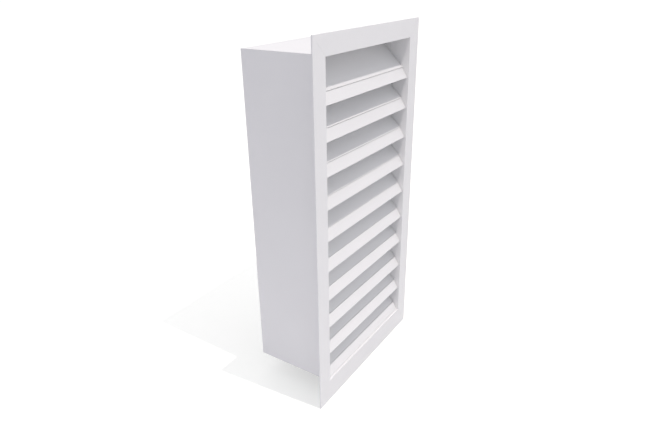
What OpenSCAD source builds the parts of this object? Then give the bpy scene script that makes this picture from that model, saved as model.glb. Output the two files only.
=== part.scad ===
// Louvred wall vent: a mitred flange with a rectangular sleeve behind it and ten fixed sloping slats.
//
// X runs across the opening, to the right as seen from the front. Y runs into the wall. Z is up.
// The origin is the middle of the opening, on the plane where the flange meets the wall.

/* [Flange] */
// Overall width of the flange
flange_w = 300; // [240:5:600]
// Width of the left and right borders
border_side = 28.5; // [22:0.5:60]
// Height of the top border
border_top = 28.5; // [22:0.5:60]
// Height of the bottom border
border_bottom = 39.5; // [22:0.5:60]
// Thickness of the frame profiles, flange and sleeve alike
frame_t = 2; // [1:0.1:4]
// Radius of the frame profiles' edges
edge_r = 0.4; // [0.1:0.1:0.4]
// Length taken off each profile's end at a mitred corner
mitre_gap = 0.08; // [0.02:0.01:0.3]

/* [Sleeve] */
// Depth from the flange's front to the sleeve's rear edge
sleeve_d = 140; // [120:1:300]

/* [Slats] */
// Height from one slat to the next
slat_pitch = 50; // [40:1:70]
// Distance from the flange's front back to the slats' front edges
slat_inset = 2.6; // [1:0.1:8]
// Depth of a slat from its front edge to its rear edge
slat_d = 47.5; // [40:0.5:60]
// Thickness of a slat
slat_t = 1.5; // [1.2:0.1:2]
// Height of a slat's steep front face
face_h = 15.8; // [12:0.1:20]
// Slope of the front face in degrees
face_angle = 59; // [56:0.5:64]
// Slope of the blade behind the front face in degrees
slat_angle = 46; // [38:1:50]
// Height of the step from the front face up to the blade
step_h = 0.8; // [0.4:0.1:1.2]
// Width of the groove at the foot of the step
groove_w = 0.7; // [0.4:0.1:1.5]
// Depth of the groove
groove_d = 0.9; // [0.3:0.1:0.9]
// Height of the lowest slat's step above the sill
sill_step = 14.4; // [12:0.1:20]
// Gap under the lowest slat, whose front face is trimmed to keep it
sill_gap = 0.3; // [0.1:0.1:1]
// Gap from the top slat's rear edge up to the sleeve's top wall
top_gap = 7.7; // [6:0.1:30]
// Gap between a slat's end and the side wall
end_gap = 0.3; // [0.1:0.1:0.8]
// Radius on a slat's edges
slat_r = 0.2; // [0.1:0.05:0.3]

/* [Slat rails] */
// Thickness of the slotted rails
rail_t = 1.5; // [1:0.1:1.6]
// Distance from the slats' front edges back to the rails' front edge
rail_front = 30; // [20:0.5:34]
// Width of a rail behind the ends of its slots
rail_spine = 8; // [5:0.5:15]
// Gap around a slat in its slot
slot_gap = 0.2; // [0.1:0.05:0.5]
// Gap at each end of a rail
rail_gap = 1; // [0.5:0.1:3]

/* [Corner angles] */
// Width of an angle's legs
angle_leg = 20; // [12:1:30]
// Thickness of an angle's legs
angle_t = 1.5; // [1:0.1:3]
// Gap between a rail and the angles behind it
angle_gap = 4; // [1:0.5:10]
// Distance from an angle's rear end to the sleeve's rear edge
angle_inset = 6; // [2:0.5:20]
// Radius inside an angle's corner
angle_r = 1; // [0.5:0.1:2]

/* [Hidden] */
slat_count = 10;
// Straight steps in each rounded edge
arc_steps = 6;
// Length by which a cut runs past what it cuts
past = 1;

// Depths, with the wall's plane at zero
front_y = -frame_t;
rear_y = front_y + sleeve_d;
slat_y = front_y + slat_inset;
face_d = face_h / tan(face_angle);
step_y = slat_y + face_d;
rail_y = slat_y + rail_front;
slot_rear_y = slat_y + slat_d + slot_gap * cos(slat_angle)
    + (slat_t + slot_gap - step_h) * sin(slat_angle);
rail_rear_y = slot_rear_y + rail_spine;
angle_y = rail_rear_y + angle_gap;

// The opening, and the flange around it
blade_d = slat_d - face_d;
blade_l = blade_d / cos(slat_angle);
blade_rise = blade_d * tan(slat_angle) + step_h * cos(slat_angle);
opening_w = flange_w - 2 * border_side;
opening_h = sill_step + (slat_count - 1) * slat_pitch + blade_rise + top_gap;
sill_z = -opening_h / 2;
flange_low = sill_z - border_bottom;
flange_h = border_bottom + opening_h + border_top;
slat_w = opening_w - 2 * end_gap;

frame_white = [0.93, 0.93, 0.94];
slat_white = [0.95, 0.94, 0.95];
rail_white = [0.88, 0.88, 0.90];
angle_white = [0.86, 0.86, 0.88];

// Points of an arc of radius r about c, from angle a to angle b
function arc(c, r, a, b) =
    [for (k = [0:arc_steps]) c + r * [cos(a + (b - a) * k / arc_steps), sin(a + (b - a) * k / arc_steps)]];

// Height of the front face's upper edge, where the step starts, for slat i counted down from the top
function step_z(i) = sill_z + sill_step + (slat_count - i) * slat_pitch;

// A point s up a slope of this angle and h above it, as [depth, height] from the foot of the step
function on_slope(angle, s, h) = s * [cos(angle), sin(angle)] + h * [-sin(angle), cos(angle)];
function on_blade(s, h) = on_slope(slat_angle, s, h);
function on_face(s, h) = on_slope(face_angle, s, h);

// Distance along a profile at which its flange, or its wall, ends in the mitre towards the next profile
function flange_mitre(v, border, next_border) = v * next_border / border + mitre_gap;
function wall_mitre(v, border, next_border) = v - border + next_border + mitre_gap;

// Section of a frame profile: the flange across its border, and the sleeve's wall behind its inner edge
module frame_outline(border) {
    polygon(concat(
        arc([edge_r, front_y + edge_r], edge_r, 180, 270),
        arc([border - edge_r, front_y + edge_r], edge_r, 270, 360),
        arc([border - edge_r, rear_y - edge_r], edge_r, 0, 90),
        arc([border - frame_t + edge_r, rear_y - edge_r], edge_r, 90, 180),
        [[border - frame_t, 0]],
        arc([edge_r, -edge_r], edge_r, 90, 180)
    ));
}

// A slab from depth y0 to y1, whose outline is given as [across, along] the profile
module mitre_slab(y0, y1, outline) {
    translate([0, y1, 0]) rotate([90, 0, 0]) linear_extrude(y1 - y0) polygon(outline);
}

// One frame profile standing along Z, cut to the mitres that meet its lower and upper neighbours
module frame_profile(length, border, lower_border, upper_border) {
    outer_v = -past;
    inner_v = border + past;
    wall_v = border - frame_t - past;
    intersection() {
        linear_extrude(length) frame_outline(border);
        union() {
            mitre_slab(front_y - past, 0, [
                [outer_v, flange_mitre(outer_v, border, lower_border)],
                [inner_v, flange_mitre(inner_v, border, lower_border)],
                [inner_v, length - flange_mitre(inner_v, border, upper_border)],
                [outer_v, length - flange_mitre(outer_v, border, upper_border)]
            ]);
            mitre_slab(0, rear_y + past, [
                [wall_v, wall_mitre(wall_v, border, lower_border)],
                [inner_v, wall_mitre(inner_v, border, lower_border)],
                [inner_v, length - wall_mitre(inner_v, border, upper_border)],
                [wall_v, length - wall_mitre(wall_v, border, upper_border)]
            ]);
        }
    }
}

module frame_side() {
    color(frame_white) translate([-flange_w / 2, 0, flange_low])
        frame_profile(flange_h, border_side, border_bottom, border_top);
}

module frame_left() {
    frame_side();
}

module frame_right() {
    mirror([1, 0, 0]) frame_side();
}

module frame_bottom() {
    color(frame_white) translate([flange_w / 2, 0, flange_low]) rotate([0, -90, 0])
        frame_profile(flange_w, border_bottom, border_side, border_side);
}

module frame_top() {
    color(frame_white) translate([flange_w / 2, 0, flange_low + flange_h]) mirror([0, 0, 1])
        rotate([0, -90, 0]) frame_profile(flange_w, border_top, border_side, border_side);
}

// Section of a slat, as [depth, height] from the foot of its step, with a front face of this height
module slat_outline(height) {
    turn = face_angle - slat_angle;
    front = -height / tan(face_angle);
    under = step_h - slat_t;
    polygon(concat(
        arc([front + slat_r / tan(face_angle / 2), slat_r - height], slat_r, 270, face_angle + 90),
        [on_face(-groove_w, 0), on_face(-groove_w, -groove_d), on_face(0, -groove_d), [0, 0]],
        arc(on_blade(slat_r, step_h - slat_r), slat_r, slat_angle + 180, slat_angle + 90),
        arc(on_blade(blade_l - slat_r, step_h - slat_r), slat_r, slat_angle + 90, slat_angle),
        arc(on_blade(blade_l - slat_r, under + slat_r), slat_r, slat_angle, slat_angle - 90),
        [[
            (under * cos(face_angle) + slat_t * cos(slat_angle)) / sin(turn),
            (under * sin(face_angle) + slat_t * sin(slat_angle)) / sin(turn)
        ]],
        arc([front + slat_t / sin(face_angle) - slat_r * tan(face_angle / 2), slat_r - height],
            slat_r, face_angle - 90, -90)
    ));
}

// Slat i, counted down from the top. The lowest has its front face trimmed to clear the sill
module slat(i) {
    height = i == slat_count ? min(face_h, sill_step - sill_gap) : face_h;
    color(slat_white) translate([-slat_w / 2, step_y, step_z(i)])
        rotate([90, 0, 90]) linear_extrude(slat_w) slat_outline(height);
}

// Slot for slat i in a rail, open at the rail's front edge, as [depth, height]
module slot_outline(i) {
    slot_end = blade_l + slot_gap;
    slot_over = step_h + slot_gap;
    slot_under = step_h - slat_t - slot_gap;
    translate([step_y, step_z(i)]) polygon([
        on_blade(0, slot_over), on_blade(slot_end, slot_over),
        on_blade(slot_end, slot_under), on_blade(0, slot_under)
    ]);
}

// The rail on the right-hand wall
module slat_rail() {
    rail_h = opening_h - 2 * rail_gap;
    color(rail_white) translate([opening_w / 2 - rail_t, 0, 0])
        rotate([90, 0, 90]) linear_extrude(rail_t) difference() {
            translate([rail_y, sill_z + rail_gap]) square([rail_rear_y - rail_y, rail_h]);
            for (i = [1:slat_count]) slot_outline(i);
        }
}

module slat_rail_right() {
    slat_rail();
}

module slat_rail_left() {
    mirror([1, 0, 0]) slat_rail();
}

// The angle in the sleeve's lower right-hand corner
module corner_angle() {
    color(angle_white) translate([opening_w / 2, rear_y - angle_inset, sill_z])
        rotate([90, 0, 0]) linear_extrude(rear_y - angle_inset - angle_y) polygon(concat(
            [[0, 0], [0, angle_leg], [-angle_t, angle_leg]],
            arc([-angle_t - angle_r, angle_t + angle_r], angle_r, 0, -90),
            [[-angle_leg, angle_t], [-angle_leg, 0]]
        ));
}

module corner_angle_bottom_right() {
    corner_angle();
}

module corner_angle_bottom_left() {
    mirror([1, 0, 0]) corner_angle();
}

module corner_angle_top_right() {
    mirror([0, 0, 1]) corner_angle();
}

module corner_angle_top_left() {
    mirror([1, 0, 0]) corner_angle_top_right();
}

frame_top();
frame_bottom();
frame_left();
frame_right();
slat_rail_left();
slat_rail_right();
slat(1);  // slat_01
slat(2);  // slat_02
slat(3);  // slat_03
slat(4);  // slat_04
slat(5);  // slat_05
slat(6);  // slat_06
slat(7);  // slat_07
slat(8);  // slat_08
slat(9);  // slat_09
slat(10);  // slat_10
corner_angle_top_left();
corner_angle_top_right();
corner_angle_bottom_left();
corner_angle_bottom_right();
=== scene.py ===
"""Dresses the louvred wall vent: its white powder coat, a pale floor, and a studio's light and camera.

Metres throughout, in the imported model's frame: X runs across the opening, Y into the wall and Z up,
from the middle of the opening on the plane where the flange meets the wall.
"""

import math

import bpy
import numpy as np
from mathutils import Matrix, Vector


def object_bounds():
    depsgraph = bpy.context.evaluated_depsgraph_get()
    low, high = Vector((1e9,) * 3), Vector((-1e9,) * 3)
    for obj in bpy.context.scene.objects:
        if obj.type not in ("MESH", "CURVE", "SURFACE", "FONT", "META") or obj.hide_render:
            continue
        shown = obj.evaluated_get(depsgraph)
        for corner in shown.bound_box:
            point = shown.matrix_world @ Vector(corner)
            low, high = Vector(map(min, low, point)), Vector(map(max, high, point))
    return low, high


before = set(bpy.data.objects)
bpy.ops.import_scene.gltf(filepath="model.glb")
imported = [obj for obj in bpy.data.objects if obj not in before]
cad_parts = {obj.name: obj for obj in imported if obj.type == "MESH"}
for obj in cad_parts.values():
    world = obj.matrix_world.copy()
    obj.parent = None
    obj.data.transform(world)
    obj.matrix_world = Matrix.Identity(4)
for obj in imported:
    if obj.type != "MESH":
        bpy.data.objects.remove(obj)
cad_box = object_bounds()

# The vent stands on its flange's bottom edge, so the floor lies just under its lowest point.
FLOOR_GAP = 0.0001
FLOOR_Z = cad_box[0].z - FLOOR_GAP
# Half of the floor's side, so that its edge is far outside every view.
FLOOR_HALF = 60.0

# Camera, solved from the straight edges of the vent. The angles are in degrees.
IMAGE_WIDTH = 660
FOCAL_PIXELS = 549.53
SENSOR_WIDTH = 36.0
CAMERA_YAW = 56.355
CAMERA_PITCH = 23.96
CAMERA_ROLL = -0.733
CAMERA_AT = (-0.71115, -0.39806, 0.35495)
CLIP_NEAR, CLIP_FAR = 0.01, 200.0

# The lamp that throws the sharp shadows.
LAMP_AT = (-0.1217, -0.303, 1.144)
LAMP_RADIUS = 0.004
LAMP_WATTS = 22.4
LAMP_COLOUR = (1.0, 0.929, 0.899)

# The even glow from all round, and the broad lobes that lift or dim it. Each lobe has its azimuth and its
# elevation in degrees, its sharpness and its colour.
# Azimuth 0 is in front of the vent and 90 on its left, where the room is dimmer.
GLOW_EVEN = (0.870, 0.885, 0.933)
GLOW_LOBES = [
    (0, 90, 2, (0.117, 0.110, 0.128)),
    (-90, 20, 2, (0.249, 0.204, 0.189)),
    (90, 10, 2, (-0.228, -0.257, -0.220)),
    (40, 0, 6, (-0.534, -0.513, -0.552)),
]

# The plain glow that the camera sees, and the one that the paint mirrors.
SEEN_GLOW = 1.0
MIRRORED_GLOW = 0.47

# The floor's paper as light finds it, paler near the vent than far off, at these distances from its middle: a
# painted pool of light round the vent, which lifts the light that the floor throws back onto it.
FLOOR_NEAR = 0.85
FLOOR_FAR = 0.6
FLOOR_NEAR_AT = 0.3
FLOOR_FAR_AT = 1.6

# The floor's paper as the camera sees it, and the lift that makes it white wherever the lamp reaches it.
SEEN_PAPER = (0.635, 0.64, 0.6)
SEEN_LIFT = 0.43

# The coats' colours and roughness. The rails and the angles have the frame's coat, a little less smooth.
# Frame and slats share one white coat. The frame's white is set lighter, as painted light on the flange. The
# slats' white is set darker, as painted shade in the hollows between the slats.
FRAME_LIT_WHITE = (0.74, 0.74, 0.74)
SLAT_SHADED_WHITE = (0.705, 0.705, 0.705)
FRAME_ROUGHNESS = 0.45
SLAT_ROUGHNESS = 0.42
INNER_ROUGHNESS = 0.5
ROUGHNESS_SPREAD = 0.03
COAT_SPECULAR = 0.4

# The colour drifts between these shares of itself, in soft clouds with this many to the metre.
DRIFT_SCALE = 9.0
DRIFT_DEEP, DRIFT_PALE = 0.988, 1.008
DRIFT_FROM, DRIFT_TO = 0.3, 0.7

# Orange peel's size and height, and the share of that height that the finer grit adds.
PEEL_SIZE = 0.0026
PEEL_HEIGHT = 0.000004
GRIT_SCALE = 4200.0
GRIT_SHARE = 0.12


def new_material(name):
    """A material with an empty node tree, and that tree."""
    material = bpy.data.materials.new(name)
    material.use_nodes = True
    material.node_tree.nodes.clear()
    return material, material.node_tree


def add_node(tree, kind, values=None, **settings):
    """A node of this kind, with its settings and its sockets' plain values."""
    node = tree.nodes.new(kind)
    for key, value in settings.items():
        setattr(node, key, value)
    for socket, value in (values or {}).items():
        node.inputs[socket].default_value = value
    return node


def powder_coat(name, colour, roughness):
    """A baked powder coat: a satin skin with orange peel, a fine grit, and a colour that drifts a little."""
    material, tree = new_material(name)
    place = add_node(tree, "ShaderNodeTexCoord").outputs["Object"]

    drift = add_node(tree, "ShaderNodeTexNoise", {"Scale": DRIFT_SCALE, "Detail": 3.0, "Roughness": 0.5})
    tree.links.new(place, drift.inputs["Vector"])
    tint = add_node(tree, "ShaderNodeValToRGB")
    ends = ((DRIFT_FROM, DRIFT_DEEP), (DRIFT_TO, DRIFT_PALE))
    for element, (position, share) in zip(tint.color_ramp.elements, ends):
        element.position = position
        element.color = tuple(min(1.0, value * share) for value in colour) + (1.0,)
    tree.links.new(drift.outputs["Fac"], tint.inputs["Fac"])

    peel = add_node(tree, "ShaderNodeTexNoise", {"Scale": 1 / PEEL_SIZE, "Detail": 2.0, "Roughness": 0.4})
    grit = add_node(tree, "ShaderNodeTexNoise", {"Scale": GRIT_SCALE, "Detail": 1.0, "Roughness": 0.5})
    tree.links.new(place, peel.inputs["Vector"])
    tree.links.new(place, grit.inputs["Vector"])
    relief = add_node(tree, "ShaderNodeMath", {1: GRIT_SHARE}, operation="MULTIPLY_ADD")
    tree.links.new(grit.outputs["Fac"], relief.inputs[0])
    tree.links.new(peel.outputs["Fac"], relief.inputs[2])
    bump = add_node(tree, "ShaderNodeBump", {"Strength": 1.0, "Distance": PEEL_HEIGHT})
    tree.links.new(relief.outputs[0], bump.inputs["Height"])

    spread = {3: roughness - ROUGHNESS_SPREAD, 4: roughness + ROUGHNESS_SPREAD}
    satin = add_node(tree, "ShaderNodeMapRange", spread)
    tree.links.new(grit.outputs["Fac"], satin.inputs[0])

    skin = add_node(tree, "ShaderNodeBsdfPrincipled", {"Specular IOR Level": COAT_SPECULAR})
    tree.links.new(tint.outputs["Color"], skin.inputs["Base Color"])
    tree.links.new(satin.outputs[0], skin.inputs["Roughness"])
    tree.links.new(bump.outputs["Normal"], skin.inputs["Normal"])
    surface = add_node(tree, "ShaderNodeOutputMaterial")
    tree.links.new(skin.outputs["BSDF"], surface.inputs["Surface"])
    return material


def dress(nodes, material):
    """Gives each named CAD node this material."""
    for name in nodes:
        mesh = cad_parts[name].data
        mesh.materials.clear()
        mesh.materials.append(material)


FRAME_NODES = ["frame_top", "frame_bottom", "frame_left", "frame_right"]
SLAT_NODES = [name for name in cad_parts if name.startswith("slat_") and "rail" not in name]
RAIL_NODES = ["slat_rail_left", "slat_rail_right"]
ANGLE_NODES = [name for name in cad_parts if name.startswith("corner_angle")]
# The frame's lighter white is painted light and the slats' darker white is painted shade, on copies of one
# coat.
dress(FRAME_NODES, powder_coat("frame_powder_coat", FRAME_LIT_WHITE, FRAME_ROUGHNESS))
dress(SLAT_NODES, powder_coat("slat_powder_coat", SLAT_SHADED_WHITE, SLAT_ROUGHNESS))
dress(RAIL_NODES, powder_coat("rail_powder_coat", FRAME_LIT_WHITE, INNER_ROUGHNESS))
dress(ANGLE_NODES, powder_coat("angle_powder_coat", FRAME_LIT_WHITE, INNER_ROUGHNESS))


def ray_share(tree, rays):
    """A factor that is 1 for the rays of these kinds and 0 for all others."""
    path = add_node(tree, "ShaderNodeLightPath")
    total = path.outputs[rays[0]]
    for ray in rays[1:]:
        either = add_node(tree, "ShaderNodeMath", operation="MAXIMUM")
        tree.links.new(total, either.inputs[0])
        tree.links.new(path.outputs[ray], either.inputs[1])
        total = either.outputs[0]
    return total


def mix_shaders(tree, share, other, chosen):
    """The chosen shader where the share is 1, and the other where it is 0."""
    mix = add_node(tree, "ShaderNodeMixShader")
    tree.links.new(share, mix.inputs[0])
    tree.links.new(other.outputs[0], mix.inputs[1])
    tree.links.new(chosen.outputs[0], mix.inputs[2])
    return mix


def floor_paper():
    """White paper, seen lighter than it is, so that it is plain white outside the vent's shadow."""
    material, tree = new_material("floor_paper")
    paper = add_node(tree, "ShaderNodeBsdfDiffuse")
    away = add_node(tree, "ShaderNodeVectorMath", {1: (0, 0, FLOOR_Z)}, operation="DISTANCE")
    tree.links.new(add_node(tree, "ShaderNodeTexCoord").outputs["Object"], away.inputs[0])
    # Paler paper near the vent is a painted pool of light that brightens the bounce onto the vent.
    ramp = {1: FLOOR_NEAR_AT, 2: FLOOR_FAR_AT, 3: FLOOR_NEAR, 4: FLOOR_FAR}
    shade = add_node(tree, "ShaderNodeMapRange", ramp, interpolation_type="SMOOTHSTEP")
    tree.links.new(away.outputs["Value"], shade.inputs[0])
    tree.links.new(shade.outputs[0], paper.inputs["Color"])

    seen = add_node(tree, "ShaderNodeAddShader")
    seen_paper = add_node(tree, "ShaderNodeBsdfDiffuse", {"Color": SEEN_PAPER + (1.0,)})
    lift = add_node(tree, "ShaderNodeEmission", {"Strength": SEEN_LIFT})
    tree.links.new(seen_paper.outputs[0], seen.inputs[0])
    tree.links.new(lift.outputs[0], seen.inputs[1])
    mirrored = add_node(tree, "ShaderNodeEmission", {"Strength": MIRRORED_GLOW})
    for_camera = mix_shaders(tree, ray_share(tree, ["Is Camera Ray"]), paper, seen)
    reflected = ray_share(tree, ["Is Glossy Ray", "Is Transmission Ray"])
    whole = mix_shaders(tree, reflected, for_camera, mirrored)
    surface = add_node(tree, "ShaderNodeOutputMaterial")
    tree.links.new(whole.outputs[0], surface.inputs["Surface"])
    return material


def lay_floor():
    """A plain pale floor, far wider than the view: one square face at one height."""
    corner = np.array([[-1, -1], [1, -1], [1, 1], [-1, 1]]) * FLOOR_HALF
    points = np.column_stack([corner, np.full(4, FLOOR_Z)])
    mesh = bpy.data.meshes.new("floor")
    mesh.from_pydata(points.tolist(), [], [(0, 1, 2, 3)])
    mesh.materials.append(floor_paper())
    floor = bpy.data.objects.new("floor", mesh)
    bpy.context.scene.collection.objects.link(floor)


def light_scene():
    """A sharp lamp above, and a glow from all round that the camera sees as white.

    The glow from a direction is the even glow and, for each lobe, colour * max(0, cosine)^sharpness, with
    the cosine of the angle between the direction and the middle of the lobe.
    """
    world = bpy.data.worlds.new("studio")
    bpy.context.scene.world = world
    world.use_nodes = True
    tree = world.node_tree
    tree.nodes.clear()
    direction = add_node(tree, "ShaderNodeTexCoord").outputs["Generated"]
    glow = add_node(tree, "ShaderNodeRGB")
    glow.outputs[0].default_value = GLOW_EVEN + (1.0,)
    for azimuth, elevation, sharpness, colour in GLOW_LOBES:
        round_, up = math.radians(azimuth), math.radians(elevation)
        way = (-math.sin(round_) * math.cos(up), -math.cos(round_) * math.cos(up), math.sin(up))
        near = add_node(tree, "ShaderNodeVectorMath", {1: way}, operation="DOT_PRODUCT")
        tree.links.new(direction, near.inputs[0])
        ahead = add_node(tree, "ShaderNodeMath", {1: 0.0}, operation="MAXIMUM")
        tree.links.new(near.outputs["Value"], ahead.inputs[0])
        share = add_node(tree, "ShaderNodeMath", {1: sharpness}, operation="POWER")
        tree.links.new(ahead.outputs[0], share.inputs[0])
        term = add_node(tree, "ShaderNodeVectorMath", {1: colour}, operation="MULTIPLY_ADD")
        tree.links.new(share.outputs[0], term.inputs[0])
        tree.links.new(glow.outputs[0], term.inputs[2])
        glow = term
    fill = add_node(tree, "ShaderNodeBackground", {"Strength": 1.0})
    tree.links.new(glow.outputs[0], fill.inputs["Color"])
    white = {"Color": (1.0, 1.0, 1.0, 1.0)}
    mirrored = add_node(tree, "ShaderNodeBackground", white | {"Strength": MIRRORED_GLOW})
    seen = add_node(tree, "ShaderNodeBackground", white | {"Strength": SEEN_GLOW})
    reflected = ray_share(tree, ["Is Glossy Ray", "Is Transmission Ray"])
    for_camera = mix_shaders(tree, ray_share(tree, ["Is Camera Ray"]), fill, seen)
    whole = mix_shaders(tree, reflected, for_camera, mirrored)
    out = add_node(tree, "ShaderNodeOutputWorld")
    tree.links.new(whole.outputs[0], out.inputs["Surface"])

    lamp = bpy.data.lights.new("lamp", "POINT")
    lamp.energy = LAMP_WATTS
    lamp.color = LAMP_COLOUR
    lamp.shadow_soft_size = LAMP_RADIUS
    lamp.use_nodes = True
    falloff = add_node(lamp.node_tree, "ShaderNodeLightFalloff", {"Strength": 1.0})
    lamp.node_tree.links.new(falloff.outputs["Constant"], lamp.node_tree.nodes["Emission"].inputs["Strength"])
    lamp_object = bpy.data.objects.new("lamp", lamp)
    lamp_object.location = LAMP_AT
    bpy.context.scene.collection.objects.link(lamp_object)


def aim_camera():
    """A camera whose axes come from its yaw, pitch and roll, with the focal length worked out from pixels."""
    yaw, pitch, roll = (math.radians(angle) for angle in (CAMERA_YAW, CAMERA_PITCH, CAMERA_ROLL))
    ahead = Vector((math.sin(yaw) * math.cos(pitch), math.cos(yaw) * math.cos(pitch), -math.sin(pitch)))
    level = Vector((math.cos(yaw), -math.sin(yaw), 0.0))
    over = level.cross(ahead)
    right = math.cos(roll) * level + math.sin(roll) * over
    up = right.cross(ahead)
    camera = bpy.data.cameras.new("camera")
    camera.sensor_width = SENSOR_WIDTH
    camera.lens = FOCAL_PIXELS / IMAGE_WIDTH * SENSOR_WIDTH
    camera.clip_start, camera.clip_end = CLIP_NEAR, CLIP_FAR
    camera_object = bpy.data.objects.new("camera", camera)
    axes = Matrix((right, up, -ahead)).transposed().to_4x4()
    camera_object.matrix_world = Matrix.Translation(CAMERA_AT) @ axes
    bpy.context.scene.collection.objects.link(camera_object)
    bpy.context.scene.camera = camera_object


lay_floor()
light_scene()
aim_camera()
bpy.context.scene.view_settings.view_transform = "Standard"
